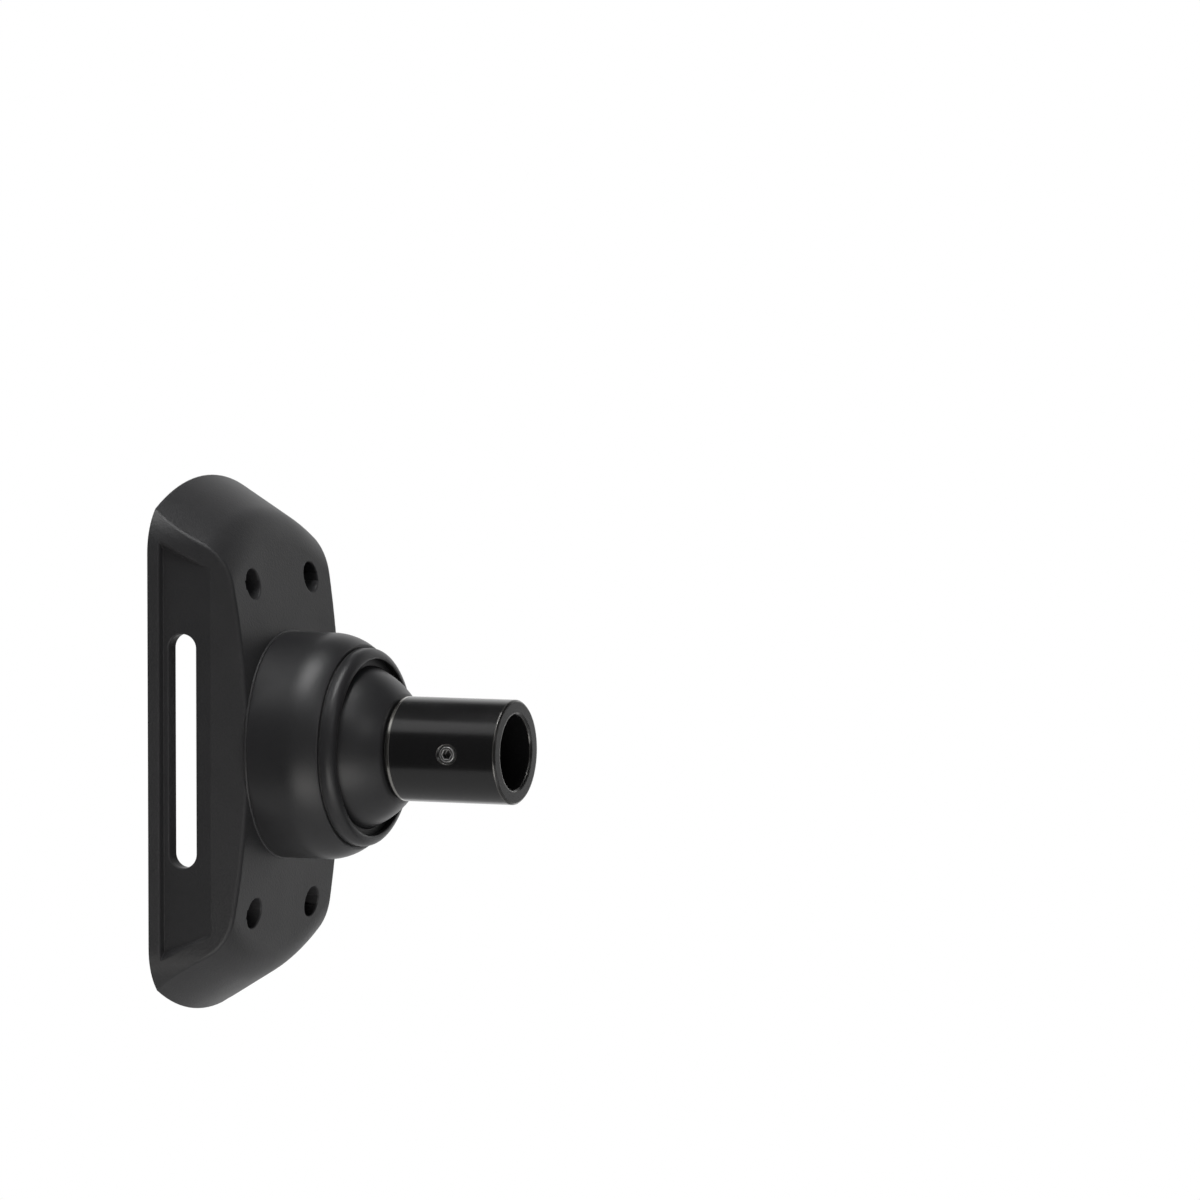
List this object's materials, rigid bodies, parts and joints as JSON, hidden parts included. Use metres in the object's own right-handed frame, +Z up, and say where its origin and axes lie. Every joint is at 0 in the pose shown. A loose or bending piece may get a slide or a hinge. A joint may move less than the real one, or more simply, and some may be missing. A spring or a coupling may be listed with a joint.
{
  "type": "speaker wall bracket",
  "caption": "Speaker wall bracket: a moulded plate with recessed, slotted sides, a screwed collar that holds a friction ball joint, and a short clamp sleeve for a speaker's stub.",
  "frame": {"origin": "middle of the wall screw pattern, on the wall plane", "axes": "+Y into the wall, the arm points along -Y, +Z up, +X to the right as seen from the room"},
  "size_m": [0.09, 0.114, 0.18],
  "materials": {
    "plate": "fine moulded texture, charcoal",
    "housing": "smooth satin, black",
    "ball": "smooth satin, black",
    "liner": "plain black friction plastic",
    "rubber": "plain black",
    "sleeve": "black anodised, glossy",
    "washer": "plain natural plastic",
    "nut": "zinc plated",
    "screw": "black oxide"
  },
  "bodies": {
    "base": {"wall_plate": "plate", "collar": "housing", "collar_screws": "screw", "retaining_ring": "housing", "pressure_ring": "rubber"},
    "liners": {"front_liner": "liner", "rear_liner": "liner"},
    "ball": {"ball": "ball"},
    "arm": {"arm_sleeve": "sleeve", "thrust_washer": "washer", "lock_nut": "nut", "clamp_screw": "screw"}
  },
  "joints": [
    {"name": "ball_swivel", "type": "hinge", "parent": "base", "child": "liners", "pos_m": [0, -0.05, 0], "axis": [0, -1, 0], "continuous": true},
    {"name": "ball_tilt", "type": "hinge", "parent": "liners", "child": "ball", "pos_m": [0, -0.05, 0], "axis": [1, 0, 0], "range_deg": [-30, 30]},
    {"name": "arm_spin", "type": "hinge", "parent": "ball", "child": "arm", "pos_m": [0, -0.05, 0], "axis": [0, -1, 0], "continuous": true}
  ]
}
